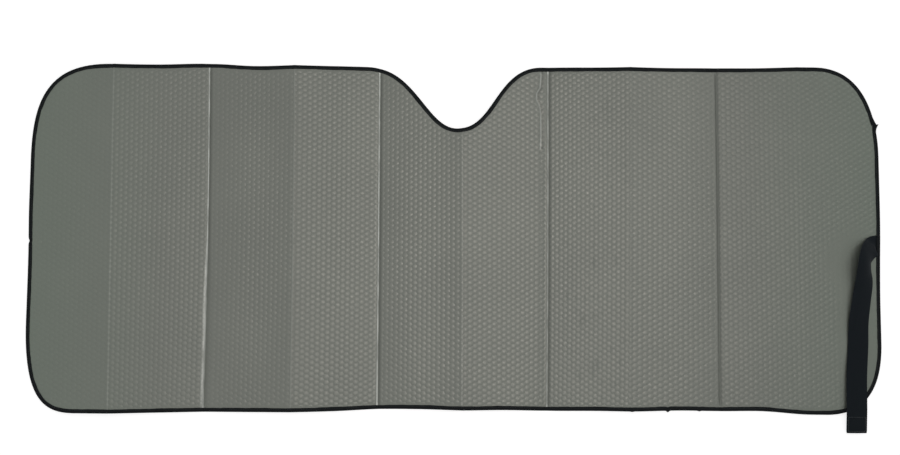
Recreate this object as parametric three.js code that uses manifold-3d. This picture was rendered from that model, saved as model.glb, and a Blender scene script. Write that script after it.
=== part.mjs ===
// Accordion sunshade for a car windscreen, lying open on its back. A sheet of metallised bubble
// foil is pressed into ten upright panels, a black tape is folded round its whole edge and sewn,
// and an elastic strap for the folded shade is caught in the tape at the right end.
// Millimetres. X runs along the width, Y up the height towards the mirror notch, Z off the floor.
import * as THREE from 'three';
import { mergeVertices } from 'three/addons/utils/BufferGeometryUtils.js';
import Module from 'manifold-3d';

// Panels and folds, left to right. The folds lie between the panels, and every second one is a
// ridge: these are the heights of the ridges when the shade lies spread out.
const panelWidths = [147, 164, 152, 143, 146, 147, 152, 144, 140, 140];
const ridgeHeights = [12, 16, 18, 14, 3];
const panelCurl = 0.5; // 0 for a straight panel, 1 for one that levels out at mid width
const creaseFlat = 3; // half width of the flat strip that a valley fold rests on
const panelSteps = 6; // straight steps that draw a panel's curve

// Cut outline. The sewn edge is not quite straight: the lists give how far it stands out from
// the rectangle at every fold and in the middle of every panel between, from left to right.
const shadeHeight = 603;
const topEdgeLeft = [1.3, 1.2, 3.4, -1.9, -1.8, -2.3]; // first fold to the notch
const topEdgeRight = [-3.4, -4.4, -4.9, -5.4, -4.5, -4.7, -3.2]; // sixth fold to the last
const bottomEdge = [
  -0.4, -1.7, -2.9, -2.8, -2.9, -4.4, -7.6, -7.8, -6.0, -6.2, -4.6, -4.7, -4.0, -5.3, -3.9, -3.9,
  1.5,
];
// The sides: share of the half height above mid height, and how far the edge stands out.
const leftSide = [[0.15, -0.6], [-0.1, -1.3]];
const rightSide = [[-0.33, -3], [-0.13, -1.8], [0.07, -0.2]];
// Corners: reach along the top or bottom edge and along the side, the fullness of the curve at
// those two ends, and how far its ends stand out beyond the rectangle, up or down and sideways.
const corners = {
  topLeft: { across: 129, down: 181, edgeFull: 0.95, sideFull: 0.47, out: 1.5, aside: -1.5 },
  topRight: { across: 110, down: 159, edgeFull: 0.76, sideFull: 0.49, out: -3.3, aside: -0.1 },
  bottomRight: { across: 96, down: 123, edgeFull: 0.6, sideFull: 0.72, out: 2.3, aside: -3 },
  bottomLeft: { across: 92, down: 147, edgeFull: 0.48, sideFull: 0.95, out: -0.6, aside: 0 },
};
const notchOffset = 6; // mirror notch, from mid width
const notchReach = [157, 149]; // from the middle of the notch to its left and right ends
const notchEdge = [-2.7, -3.5]; // how far the edge stands out at those ends
const notchDepth = 113; // below the top of the rectangle
const notchShoulder = 83; // how far the rounded shoulders carry on level
const notchFloor = [53, 64]; // how far the floor of the notch carries on level, left and right
const curveSteps = 10;

// Bubble foil
const sheetThickness = 4;
const creaseDepth = 1.8; // pressed groove on the inner side of each fold
const creaseHalfWidth = 4.5;

// Edge tape, folded over the crushed rim of the foil
const fit = 0.3; // clearance between separate pieces
const tapeThickness = 0.6;
const tapeCover = 7; // width of tape seen on each face
const tapeRound = 0.8; // width of the step that rounds the folded edge of the tape
const rimCrease = 0.8; // depth of a fold's groove in the tape and in the rim beneath it
const rimStep = 3; // bare rim between the tape and the full thickness
const tapeEndAt = { x: 734, y: 202 }; // where the two ends of the tape meet
const tapeEndLength = 26;
const tapeEndFlare = 3.2; // the loose corners stand out this far

// Elastic strap
const strapWidth = 35;
const strapThickness = 1.6;
const strapHeld = 5; // length of the strap sewn in under the tape
const pocketHeight = strapThickness + 4.5 * fit; // room under the tape for the strap
const strapStepsLong = 44;
const strapStepsAcross = 4;
const patchLength = 27; // hook patch under the free end
const patchInset = 2; // from the end and the sides of the strap
const patchThickness = 1.4;
const patchSteps = 5;

// Route of the strap's middle line, in strap widths: in from the right edge, down from the root
// or up from the bottom edge, and the clear height under its lower edge. Then, in degrees, its
// tilt, where its outer edge stands up in the turn, and how far it curls across its width.
const strapTurn = [
  [0.42, 0.03, 0.03, -1, 20],
  [0.71, 0.29, 0.05, -24, 40],
  [0.91, 0.74, 0.07, -36, 70],
  [0.96, 1.31, 0.06, -29.5, 70],
  [0.97, 1.83, 0.05, -17.5, 45],
  [1.09, 2.66, 0.03, -13, 25],
];
const strapRun = [
  [1.24, 4.47, 0.02, -6.7, 16],
  [1.29, 3.33, 0.04, 0, 16],
  [1.41, 1.76, 0.11, 0, 16],
  [1.45, 0.27, 0.16, 0, 16],
];
const strapCurl = 16; // degrees across the width, at the free end
const strapRootY = -14;
const strapTail = 33; // length beyond the bottom edge
const strapTailDrop = 5.5; // the free end sinks this far towards the floor

const halfWidth = panelWidths.reduce((sum, width) => sum + width, 0) / 2;
const topY = shadeHeight / 2;
const bottomY = -shadeHeight / 2;
const rimThickness = sheetThickness - 2 * (tapeThickness + fit);
const rimWidth = tapeCover + rimStep;
const roomy = 40; // cutting prisms and slabs run this far past the shade

const wasm = await Module();
wasm.setup();

function solidFrom(geometry) {
  const bare = geometry.clone();
  bare.deleteAttribute('normal');
  bare.deleteAttribute('uv');
  const merged = mergeVertices(bare, 1e-5);
  const vertProperties = new Float32Array(merged.attributes.position.array);
  const triVerts = new Uint32Array(merged.index.array);
  return new wasm.Manifold(new wasm.Mesh({ numProp: 3, vertProperties, triVerts }));
}

function geometryFrom(solid) {
  const mesh = solid.getMesh();
  const geometry = new THREE.BufferGeometry();
  geometry.setAttribute('position', new THREE.BufferAttribute(mesh.vertProperties, 3));
  geometry.setIndex(new THREE.BufferAttribute(mesh.triVerts, 1));
  geometry.computeVertexNormals();
  return geometry;
}

// Folds: places from the panel widths, heights 0 at the free edges and the valleys.
const folds = [{ at: -halfWidth, height: 0, free: true }];
for (const [index, width] of panelWidths.entries()) {
  const ridge = index % 2 === 0 && index < panelWidths.length - 1;
  const height = ridge ? ridgeHeights[index / 2] : 0;
  folds.push({ at: folds.at(-1).at + width, height, free: index === panelWidths.length - 1 });
}

// Height of the underside of the full sheet above the floor. A panel leaves each fold steeply
// and levels out towards its middle, as film does that was creased and then pulled open.
function rise(x) {
  const index = folds.findIndex((fold, i) => i > 0 && x <= fold.at + 1e-6);
  const [left, right] = [folds[Math.max(index, 1) - 1], folds[Math.max(index, 1)]];
  const [valley, ridge] = left.height < right.height ? [left, right] : [right, left];
  const reach = Math.abs(ridge.at - valley.at) - creaseFlat;
  const t = THREE.MathUtils.clamp((Math.abs(x - valley.at) - creaseFlat) / reach, 0, 1);
  const bent = 0.5 + 0.5 * Math.sign(2 * t - 1) * (2 * t - 1) ** 2;
  return valley.height + (ridge.height - valley.height) * ((1 - panelCurl) * t + panelCurl * bent);
}

// Places across the width where the section turns: the folds, the sides of their grooves, the
// ends of the flat strips, and steps along each panel.
function stations() {
  const places = [];
  for (const [index, fold] of folds.entries()) {
    places.push(fold.at);
    if (!fold.free) {
      places.push(fold.at - creaseHalfWidth, fold.at + creaseHalfWidth);
    }
    if (fold.height === 0) {
      places.push(fold.at - creaseFlat, fold.at + creaseFlat);
    }
    if (index > 0) {
      const start = folds[index - 1].at + creaseHalfWidth;
      const run = fold.at - creaseHalfWidth - start;
      for (let step = 1; step < panelSteps; step += 1) {
        places.push(start + (run * step) / panelSteps);
      }
    }
  }
  return places.filter((x) => Math.abs(x) <= halfWidth).sort((a, b) => a - b);
}

// The depth of the fold grooves at x, on the hollow side of each fold: above at a valley and
// below at a ridge.
function groove(x, above, depth) {
  const fold = folds.find((each) => !each.free && Math.abs(x - each.at) < creaseHalfWidth - 1e-6);
  if (!fold || (fold.height === 0) !== above) {
    return 0;
  }
  return depth * (1 - Math.abs(x - fold.at) / creaseHalfWidth);
}

// A folded layer of the given thickness, centred in the thickness of the sheet.
function foldedLayer(thickness, grooveDepth) {
  const middle = sheetThickness / 2;
  const top = [];
  const bottom = [];
  for (const x of stations()) {
    const reach = Math.abs(x) === halfWidth ? Math.sign(x) * roomy : 0;
    const base = rise(x) + middle;
    top.push(new THREE.Vector2(x + reach, base + thickness / 2 - groove(x, true, grooveDepth)));
    bottom.push(new THREE.Vector2(x + reach, base - thickness / 2 + groove(x, false, grooveDepth)));
  }
  const section = new THREE.Shape([...bottom, ...top.reverse()]);
  const depth = shadeHeight + 2 * roomy;
  const layer = new THREE.ExtrudeGeometry(section, { depth, bevelEnabled: false });
  layer.rotateX(Math.PI / 2);
  layer.translate(0, depth / 2, 0);
  return solidFrom(layer);
}

// Places of the folds and the middles of the panels between them, from left to right.
const creases = folds.filter((fold) => !fold.free).map((fold) => fold.at);
const edgeStations = creases.flatMap((at, index) => (
  index === 0 ? [at] : [(creases[index - 1] + at) / 2, at]
));

// The cut edge, counter-clockwise from the left end of the bottom edge.
function edgePath() {
  const point = (x, y) => new THREE.Vector2(x, y);
  const path = new THREE.Path();
  const follow = (points) => points.forEach(({ x, y }) => path.lineTo(x, y));
  // A corner of the rectangle, given by the signs of its x and y.
  const cornerEnds = (corner, right, up) => {
    const side = right * (halfWidth + corner.aside);
    const edge = up * (topY + corner.out);
    return {
      onEdge: point(side - right * corner.across, edge),
      tip: point(side, edge),
      onSide: point(side, edge - up * corner.down),
    };
  };
  const roundOff = (from, fromFull, tip, to, toFull) => {
    const first = from.clone().lerp(tip, fromFull);
    const second = to.clone().lerp(tip, toFull);
    path.lineTo(from.x, from.y);
    path.bezierCurveTo(first.x, first.y, second.x, second.y, to.x, to.y);
  };
  const { topLeft, topRight, bottomRight, bottomLeft } = corners;
  const side = (list, right) => list.map(([share, out]) => (
    point(right * (halfWidth + out), share * topY)
  ));
  // The stations of the top or bottom edge, counted from the first, that lie between two ends.
  const between = (outs, first, up, left, right) => outs.map((out, index) => (
    point(edgeStations[first + index], up * (topY + out))
  )).filter(({ x }) => x > left.x && x < right.x);

  const start = cornerEnds(bottomLeft, -1, -1);
  const second = cornerEnds(bottomRight, 1, -1);
  path.moveTo(start.onEdge.x, start.onEdge.y);
  follow(between(bottomEdge, 0, -1, start.onEdge, second.onEdge));
  roundOff(second.onEdge, bottomRight.edgeFull, second.tip, second.onSide, bottomRight.sideFull);
  follow(side(rightSide, 1));
  const third = cornerEnds(topRight, 1, 1);
  roundOff(third.onSide, topRight.sideFull, third.tip, third.onEdge, topRight.edgeFull);

  const notchLeft = point(notchOffset - notchReach[0], topY + notchEdge[0]);
  const notchRight = point(notchOffset + notchReach[1], topY + notchEdge[1]);
  const floorY = topY - notchDepth;
  const rightStart = edgeStations.length - topEdgeRight.length;
  follow(between(topEdgeRight, rightStart, 1, notchRight, third.onEdge).reverse());
  path.lineTo(notchRight.x, notchRight.y);
  path.bezierCurveTo(notchRight.x - notchShoulder, notchRight.y,
    notchOffset + notchFloor[1], floorY, notchOffset, floorY);
  path.bezierCurveTo(notchOffset - notchFloor[0], floorY,
    notchLeft.x + notchShoulder, notchLeft.y, notchLeft.x, notchLeft.y);
  const fourth = cornerEnds(topLeft, -1, 1);
  follow(between(topEdgeLeft, 0, 1, fourth.onEdge, notchLeft).reverse());
  roundOff(fourth.onEdge, topLeft.edgeFull, fourth.tip, fourth.onSide, topLeft.sideFull);
  follow(side(leftSide, -1));
  roundOff(start.onSide, bottomLeft.sideFull, start.tip, start.onEdge, bottomLeft.edgeFull);
  return path;
}

const edgePoints = edgePath().getPoints(curveSteps).filter((point, index, all) => (
  index === 0 || point.distanceTo(all[index - 1]) > 1e-6
));
if (edgePoints.at(-1).distanceTo(edgePoints[0]) < 1e-6) {
  edgePoints.pop();
}

// Everything inside the cut edge, drawn in by the given distance.
function prism(inset) {
  const outline = edgePoints.map((point, index) => {
    const before = edgePoints.at(index - 1);
    const after = edgePoints[(index + 1) % edgePoints.length];
    const along = point.clone().sub(before).normalize().add(after.clone().sub(point).normalize());
    along.normalize();
    return new THREE.Vector2(point.x - along.y * inset, point.y + along.x * inset);
  });
  const depth = Math.max(...ridgeHeights) + sheetThickness + 2 * roomy;
  const solid = new THREE.ExtrudeGeometry(new THREE.Shape(outline), { depth, bevelEnabled: false });
  solid.translate(0, 0, -roomy);
  return solidFrom(solid);
}

const sheetTop = (x) => rise(Math.min(x, halfWidth)) + sheetThickness;
const rimTop = sheetThickness / 2 + rimThickness / 2;

// The right edge at the height of the strap's root.
const rootEdgeX = Math.max(...edgePoints.map((point, index) => {
  const next = edgePoints[(index + 1) % edgePoints.length];
  const t = (strapRootY - point.y) / (next.y - point.y);
  return t >= 0 && t <= 1 ? point.x + t * (next.x - point.x) : 0;
}));

function strapLines() {
  const places = [];
  const leans = [];
  const add = (x, y, z, tilt, curl) => {
    places.push(new THREE.Vector3(x, y, z));
    leans.push(new THREE.Vector2(tilt, curl).multiplyScalar(THREE.MathUtils.DEG2RAD));
  };
  const rootZ = rimTop + fit + strapThickness / 2;
  const stepX = rootEdgeX - rimWidth;
  add(rootEdgeX - tapeCover + strapHeld, strapRootY, rootZ, 0, 0);
  add(stepX + 1.4 * rimStep, strapRootY, rootZ + fit / 3, 0, 0);
  add(stepX - fit, strapRootY, sheetTop(stepX) + 2 * fit + strapThickness / 2, 0, 0);
  const turn = strapTurn.map(([inward, down, ...rest]) => (
    [halfWidth - inward * strapWidth, strapRootY - down * strapWidth, ...rest]
  ));
  const run = strapRun.map(([inward, up, ...rest]) => (
    [halfWidth - inward * strapWidth, bottomY + up * strapWidth, ...rest]
  ));
  for (const [x, y, clear, tilt, curl] of [...turn, ...run]) {
    const lean = THREE.MathUtils.degToRad(tilt);
    const standing = (strapWidth / 2) * Math.abs(Math.sin(lean));
    const sagitta = (strapWidth * THREE.MathUtils.degToRad(curl)) / 8;
    const under = sheetTop(x - strapWidth / 2) + fit + clear * strapWidth;
    add(x, y, under + (strapThickness + sagitta) / 2 + standing, tilt, curl);
  }
  const { x, z } = places.at(-1);
  add(x, bottomY - strapTail / 2, z - strapTailDrop * 0.6, 0, strapCurl);
  add(x, bottomY - strapTail, z - strapTailDrop, 0, strapCurl);
  return { line: new THREE.CatmullRomCurve3(places), lean: new THREE.SplineCurve(leans) };
}

const strap = strapLines();

// A ribbon along the strap's route: from and to are lengths along it, half is half its width,
// and low and high are its faces, measured from the middle of the strap's thickness.
function ribbon(from, to, half, low, high, stepsLong) {
  const positions = [];
  const faces = [];
  const ring = 2 * (strapStepsAcross + 1);
  for (let step = 0; step <= stepsLong; step += 1) {
    const length = from + ((to - from) * step) / stepsLong;
    const t = strap.line.getUtoTmapping(0, length);
    const middle = strap.line.getPoint(t);
    const along = strap.line.getTangent(t);
    const { x: tilt, y: curl } = strap.lean.getPoint(t);
    const across = new THREE.Vector3(-along.y, along.x, 0).setLength(Math.cos(tilt));
    across.z = Math.sin(tilt);
    const up = new THREE.Vector3().crossVectors(along, across).normalize();
    across.crossVectors(up, along);
    // Across its width the strap is an arc, as long as the strap is wide.
    const bend = Math.max(curl, 1e-3);
    const radius = strapWidth / bend;
    const sag = radius * (1 - Math.cos(bend / 2));
    for (const face of [low, high]) {
      for (let k = 0; k <= strapStepsAcross; k += 1) {
        const side = face === low ? k : strapStepsAcross - k;
        const angle = ((2 * side) / strapStepsAcross - 1) * (half / radius);
        const place = middle.clone().addScaledVector(across, (radius + face) * Math.sin(angle));
        place.addScaledVector(up, (radius + face) * Math.cos(angle) - radius + sag / 2);
        positions.push(...place.toArray());
      }
    }
  }
  for (let step = 0; step < stepsLong; step += 1) {
    for (let k = 0; k < ring; k += 1) {
      const a = step * ring + k;
      const b = step * ring + ((k + 1) % ring);
      faces.push(a, b, b + ring, a, b + ring, a + ring);
    }
  }
  const last = stepsLong * ring;
  for (let k = 0; k < strapStepsAcross; k += 1) {
    const [a, b, c, d] = [k, k + 1, ring - 2 - k, ring - 1 - k];
    faces.push(a, c, b, a, d, c);
    faces.push(last + a, last + b, last + c, last + a, last + c, last + d);
  }
  const geometry = new THREE.BufferGeometry();
  geometry.setAttribute('position', new THREE.Float32BufferAttribute(positions, 3));
  geometry.setIndex(faces);
  geometry.computeVertexNormals();
  return geometry;
}

// The sheet: full thickness up to the tape, and a crushed rim inside the tape.
function makeSheet() {
  const inTape = tapeThickness + fit;
  const body = foldedLayer(sheetThickness, creaseDepth).intersect(prism(rimWidth));
  const rim = foldedLayer(rimThickness, rimCrease).intersect(prism(inTape));
  return geometryFrom(body.add(rim));
}

// The two ends of the tape stand open where they meet, in an outline drawn along the edge.
function makeTapeEnds() {
  const away = (share) => share * tapeEndFlare;
  const run = (share) => share * tapeEndLength;
  const ends = new THREE.Shape();
  ends.moveTo(-tapeCover / 2, run(0.62));
  ends.quadraticCurveTo(away(0.15), run(0.3), away(0.72), run(0.04));
  ends.lineTo(away(0.5), run(-0.02));
  ends.lineTo(away(1), run(-0.03));
  ends.quadraticCurveTo(away(0.3), run(-0.16), -tapeCover / 2, run(-0.38));
  const thickness = 2 * tapeThickness + rimThickness;
  const solid = new THREE.ExtrudeGeometry(ends, {
    depth: thickness, bevelEnabled: false, curveSegments: 5,
  });
  const nearest = edgePoints.reduce((best, point) => {
    const better = point.distanceTo(tapeEndAt) < best.distanceTo(tapeEndAt);
    return better ? point : best;
  });
  const index = edgePoints.indexOf(nearest);
  const along = edgePoints[index + 1].clone().sub(edgePoints[index - 1]);
  solid.rotateZ(along.angle() - Math.PI / 2);
  solid.translate(nearest.x, nearest.y, rise(nearest.x) + (sheetThickness - thickness) / 2);
  return solidFrom(solid);
}

// The tape: a folded strip that follows the creases of the sheet, raised where the strap goes in.
function makeTape() {
  const inTape = tapeThickness + fit;
  const wide = prism(tapeRound).subtract(prism(tapeCover));
  const folded = prism(0).subtract(prism(tapeCover));
  const outside = foldedLayer(sheetThickness, rimCrease).intersect(wide)
    .add(foldedLayer(sheetThickness - tapeThickness, rimCrease).intersect(folded));
  const pocket = (length, width, height, z) => {
    const box = new THREE.BoxGeometry(length, width, height);
    box.translate(rootEdgeX - tapeCover + length / 2, strapRootY, z + height / 2);
    return solidFrom(box);
  };
  const overStrap = pocket(tapeCover, strapWidth + 2 * (fit + tapeThickness),
    pocketHeight + tapeThickness, rimTop);
  const strapRoom = pocket(strapHeld + fit, strapWidth + 2 * fit, pocketHeight, rimTop);
  const grown = foldedLayer(rimThickness + 2 * fit, rimCrease).intersect(prism(inTape - fit));
  const tape = outside.add(makeTapeEnds()).add(overStrap);
  return geometryFrom(tape.subtract(grown).subtract(strapRoom));
}

const total = strap.line.getLength();
const half = strapThickness / 2;
const patchHigh = -half - fit;
const strapGeometry = ribbon(0, total, strapWidth / 2, -half, half, strapStepsLong);
const patchGeometry = ribbon(total - patchInset - patchLength, total - patchInset,
  strapWidth / 2 - patchInset, patchHigh - patchThickness, patchHigh, patchSteps);

const foil = new THREE.MeshStandardMaterial({ color: '#777b76', roughness: 0.55, metalness: 0.35 });
const tapeCloth = new THREE.MeshStandardMaterial({ color: '#1c2022', roughness: 0.9 });
const elastic = new THREE.MeshStandardMaterial({ color: '#1b2023', roughness: 0.95 });
const hooks = new THREE.MeshStandardMaterial({ color: '#15181a', roughness: 0.8 });

function named(name, geometry, material) {
  const mesh = new THREE.Mesh(geometry, material);
  mesh.name = name;
  return mesh;
}

const sunshade = new THREE.Group();
sunshade.add(
  named('shade_sheet', makeSheet(), foil),
  named('edge_binding', makeTape(), tapeCloth),
  named('storage_strap', strapGeometry, elastic),
  named('hook_patch', patchGeometry, hooks),
);

// The origin is on the floor, under the middle of the outline.
const middle = new THREE.Box3().setFromObject(sunshade).getCenter(new THREE.Vector3());
sunshade.position.set(-middle.x, -middle.y, 0);

export default sunshade;
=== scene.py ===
# An accordion sunshade for a car windscreen, lying open on its back and seen from above.
# Metres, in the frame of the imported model: X along the width, Y up the height to the mirror
# notch, Z off the floor.
import math

import bpy
import numpy as np
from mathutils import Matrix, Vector


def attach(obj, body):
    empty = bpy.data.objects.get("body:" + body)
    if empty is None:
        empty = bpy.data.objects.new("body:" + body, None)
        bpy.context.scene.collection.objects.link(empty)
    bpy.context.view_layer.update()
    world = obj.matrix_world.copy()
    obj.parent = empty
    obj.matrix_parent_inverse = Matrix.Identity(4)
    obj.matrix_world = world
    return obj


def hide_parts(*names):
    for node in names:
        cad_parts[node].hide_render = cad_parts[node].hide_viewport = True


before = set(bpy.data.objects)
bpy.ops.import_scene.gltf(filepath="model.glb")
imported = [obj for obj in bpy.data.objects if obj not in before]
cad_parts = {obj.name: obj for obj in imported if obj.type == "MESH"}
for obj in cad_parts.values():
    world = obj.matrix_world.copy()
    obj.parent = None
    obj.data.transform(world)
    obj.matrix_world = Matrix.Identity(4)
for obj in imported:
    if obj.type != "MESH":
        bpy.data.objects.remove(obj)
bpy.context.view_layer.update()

# The studio: a white floor under the shade, a soft lamp up to the right that draws the folds,
# and two lamps over the middle, one wide and one narrow. The camera stands almost straight over
# the shade, a little towards its bottom edge.
MM = 0.001
PHOTO_WIDTH = 900
PHOTO_HEIGHT = 455
SHADE_CENTRE_PX = (454.25, 238.0)
METRES_PER_PX = 1.7326 * MM
CAMERA_DISTANCE = 2.35
CAMERA_ELEVATION = math.radians(85.5)
SENSOR_MM = 36
SHADE_CENTRE = Vector((0, 14.89 * MM, 0))


def colour(code):
    """An sRGB hex code as the linear colour that Blender works in."""
    parts = [int(code[i : i + 2], 16) / 255 for i in (1, 3, 5)]
    linear = [c / 12.92 if c <= 0.04045 else ((c + 0.055) / 1.055) ** 2.4 for c in parts]
    return (*linear, 1.0)


def add_node(tree, kind, inputs=None, **settings):
    """Adds a node with its settings, sets or links its inputs, and returns its first output."""
    node = tree.nodes.new(kind)
    for name, value in settings.items():
        setattr(node, name, value)
    for name, value in (inputs or {}).items():
        if isinstance(value, bpy.types.NodeSocket):
            tree.links.new(value, node.inputs[name])
        else:
            node.inputs[name].default_value = value
    return node.outputs[0] if len(node.outputs) else node


def new_material(name):
    """An empty material, with its node tree."""
    material = bpy.data.materials.new(name)
    material.use_nodes = True
    material.node_tree.nodes.clear()
    return material, material.node_tree


def coat(piece, material, surface):
    """Ends a material with its surface, and puts it on a piece."""
    add_node(material.node_tree, "ShaderNodeOutputMaterial", {"Surface": surface})
    piece.data.materials.append(material)


def seen_plainly(tree):
    """1 for rays from the camera, from gloss and through glass, and 0 for the light itself."""
    path = add_node(tree, "ShaderNodeLightPath").node
    seen = add_node(tree, "ShaderNodeMath", {0: path.outputs["Is Camera Ray"],
                                             1: path.outputs["Is Glossy Ray"]}, operation="MAXIMUM")
    return add_node(tree, "ShaderNodeMath", {0: seen, 1: path.outputs["Is Transmission Ray"]},
                    operation="MAXIMUM")


def deselect():
    """Leaves nothing selected, so that the next operator acts on what it adds."""
    if bpy.context.object and bpy.context.object.mode != "OBJECT":
        bpy.ops.object.mode_set(mode="OBJECT")
    bpy.ops.object.select_all(action="DESELECT")


def add_lamp(kind, name, place, aim_at, tint, watts, **settings):
    """Adds a lamp at a place, turned to shine on a point."""
    deselect()
    bpy.ops.object.light_add(type=kind, location=place)
    lamp = bpy.context.object
    lamp.name = name
    lamp.data.color = colour(tint)[:3]
    lamp.data.energy = watts
    for key, value in settings.items():
        setattr(lamp.data, key, value)
    lamp.rotation_euler = (Vector(aim_at) - Vector(place)).to_track_quat("-Z", "Y").to_euler()


bpy.context.scene.view_settings.view_transform = "Standard"

# The photograph's middle is a little left of the shade's own and above it.
aim = SHADE_CENTRE + METRES_PER_PX * Vector((
    PHOTO_WIDTH / 2 - SHADE_CENTRE_PX[0], SHADE_CENTRE_PX[1] - PHOTO_HEIGHT / 2, 0))
back = Vector((0, -math.cos(CAMERA_ELEVATION), math.sin(CAMERA_ELEVATION)))
deselect()
bpy.ops.object.camera_add(location=aim + back * CAMERA_DISTANCE)
camera = bpy.context.object
camera.rotation_euler = (-back).to_track_quat("-Z", "Y").to_euler()
camera.data.sensor_width = SENSOR_MM
camera.data.lens = SENSOR_MM * CAMERA_DISTANCE / (PHOTO_WIDTH * METRES_PER_PX)
camera.data.clip_end = 60
bpy.context.scene.camera = camera

deselect()
bpy.ops.mesh.primitive_plane_add(size=30, location=(0, 0, 0))
floor = bpy.context.object
floor.name = "floor"
white_paper, tree = new_material("white background paper")
# The paper itself glows a little for those rays, so that it shows white outside the shadow.
glow = add_node(tree, "ShaderNodeMath", {0: seen_plainly(tree), 1: 0.72}, operation="MULTIPLY")
glow = add_node(tree, "ShaderNodeEmission", {"Color": colour("#ffffff"), "Strength": glow})
paper = add_node(tree, "ShaderNodeBsdfDiffuse", {"Color": colour("#cfcfcf")})
paper = add_node(tree, "ShaderNodeAddShader", {0: glow, 1: paper})
coat(floor, white_paper, paper)

world = bpy.data.worlds.new("studio")
bpy.context.scene.world = world
world.use_nodes = True
tree = world.node_tree
tree.nodes.clear()
level = add_node(tree, "ShaderNodeMapRange",
                 {"Value": seen_plainly(tree), "To Min": 0.52, "To Max": 1.0})
sky = add_node(tree, "ShaderNodeBackground", {"Color": colour("#ffffff"), "Strength": level})
add_node(tree, "ShaderNodeOutputWorld", {"Surface": sky})
add_lamp("AREA", "side_soft_box", (5.0, 3.8, 5.6), (0, 0, 0), "#ffffff", watts=22, size=1.8)
add_lamp("SPOT", "wide_lamp", (0.2, 0.1, 2.7), (0.06, 0, 0), "#fff2f2", watts=27,
         spot_size=math.radians(42), spot_blend=1.0, shadow_soft_size=0.3)
add_lamp("SPOT", "middle_lamp", (0.8, 0.1, 2.7), (0.09, 0, 0), "#fff0ee", watts=19.5,
         spot_size=math.radians(26), spot_blend=1.0, shadow_soft_size=0.3)

# The bubble foil: metallised polyethylene film bonded to both sides of a layer of air bubbles,
# cut to the windscreen's outline and heat-pressed into ten panels. The fold lines and the rim
# are crushed flat, and elsewhere the bubbles stand out under the film as low round domes.
# Lengths in this section and the next are millimetres from the middle of the shade.
PANEL_WIDTHS = [147, 164, 152, 143, 146, 147, 152, 144, 140, 140]
RIDGE_HEIGHTS = [12, 16, 18, 14, 3]
PANEL_CURL = 0.5
CREASE_FLAT = 3
# How far the sewn edge stands out from the rectangle at every fold and in the middle of every
# panel between, from left to right: top edge up to the notch and beyond it, and bottom edge.
TOP_EDGE_LEFT = [1.3, 1.2, 3.4, -1.9, -1.8, -2.3]
TOP_EDGE_RIGHT = [-3.4, -4.4, -4.9, -5.4, -4.5, -4.7, -3.2]
BOTTOM_EDGE = [-0.4, -1.7, -2.9, -2.8, -2.9, -4.4, -7.6, -7.8, -6.0, -6.2, -4.6, -4.7, -4.0, -5.3,
               -3.9, -3.9, 1.5]
# The sides: share of the half height above mid height, and how far the edge stands out.
LEFT_SIDE = [(0.15, -0.6), (-0.1, -1.3)]
RIGHT_SIDE = [(-0.33, -3), (-0.13, -1.8), (0.07, -0.2)]
# Corners: reach along the edge and along the side, the fullness of the curve at those two ends,
# and how far its ends stand out beyond the rectangle.
TOP_LEFT = (-1, 1, 129, 181, 0.95, 0.47, 1.5, -1.5)
TOP_RIGHT = (1, 1, 110, 159, 0.76, 0.49, -3.3, -0.1)
BOTTOM_RIGHT = (1, -1, 96, 123, 0.6, 0.72, 2.3, -3)
BOTTOM_LEFT = (-1, -1, 92, 147, 0.48, 0.95, -0.6, 0)
NOTCH_OFFSET = 6
NOTCH_REACH = (157, 149)
NOTCH_EDGE = (-2.7, -3.5)
NOTCH_DEPTH = 113
NOTCH_SHOULDER = 83
NOTCH_FLOOR = (53, 64)
SHADE_HEIGHT = 603
SHEET_THICKNESS = 4
RIM_THICKNESS = 2.2
RIM_SLOPE = (7, 10.5)
BUBBLE_PITCH = 9.46
BUBBLE_RADIUS = 5.46
DOME_UP = 0.4
DOME_DOWN = 0.6
DOME_UNEVEN = 0.04
RIDGE_CRUSH = 0.3
CREASE_HALF_WIDTH = 2.8
CREASE_DEPTH = 1.9
RIM_EVENS_CREASE = 0.6
FILM_WAVE = 0.5
FOIL_EDGE = 1.2
# Where the strap presses the bubbles flat when it goes round the folded shade: the reach at
# which that begins and is full, down along its run and more widely at its root.
STRAP_PRESS_X = 692
STRAP_PRESS_TOP = -42
STRAP_PRESS_AT_ROOT = (75, 40)
STRAP_PRESS_ALONG = (44, 22)
STRAP_PRESS = 0.85
# From the left, how far each pressed fold strays sideways at the top, the middle and the bottom,
# and how strongly its film is painted paler on one side, partly wear and partly a painted
# highlight, and darker on the other, a painted shade in the groove.
FOLD_DRIFT = [
    (0, 0, 0), (0, 0.6, -3.1), (-1.5, -2, -4), (2.4, 1.4, -0.3), (0, 0, -1), (3, 1, -2.5),
    (-8, -11, -16), (-1.2, -1.5, -3), (0, 0, 0),
]
FOLD_WEAR_AND_HIGHLIGHT = [0.1, 0.85, 0.1, 1.0, 0.1, 0.9, 0, 0.05, 0]
FOLD_PAINTED_SHADE = [0, 0.35, 0.1, 0.4, 0.1, 0.38, 0, 0.3, 0]
# On the back the ridges take the same painted highlight and painted shade, this strongly.
BACK_MARKS = 0.5
# A wrinkle beside the sixth fold, below the notch's shoulder: height and place across.
WRINKLE_X = 150.5
WRINKLE = [(150, 150), (170, 151.2), (214, 151.2), (231, 148.5), (240, 143.6), (252, 144.2),
           (262, 150.3), (283, 152), (300, 150.5)]
WRINKLE_DEPTH = 1.0
# How strongly the wrinkle is painted paler, wear and painted highlight, and darker, painted shade.
WRINKLE_MARKS = (0.35, 0.35)
# How far to its left and right it draws the bubbles along, and the lengths over which it begins.
WRINKLE_PULL = (15, 9)
WRINKLE_LEAD = 8
WRINKLE_FADE = 30
# The second fold is crushed to a band over its lower half, where its painted highlight and
# painted shade spread wider and fainter: where that begins and is full, and how much wider on
# either side and how much fainter they get.
CRUSHED_FOLD = 1
CRUSHED_BAND = (20, -130)
CRUSHED_WIDER = (2.2, 0.6)
CRUSHED_FAINTER = 0.45
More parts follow.
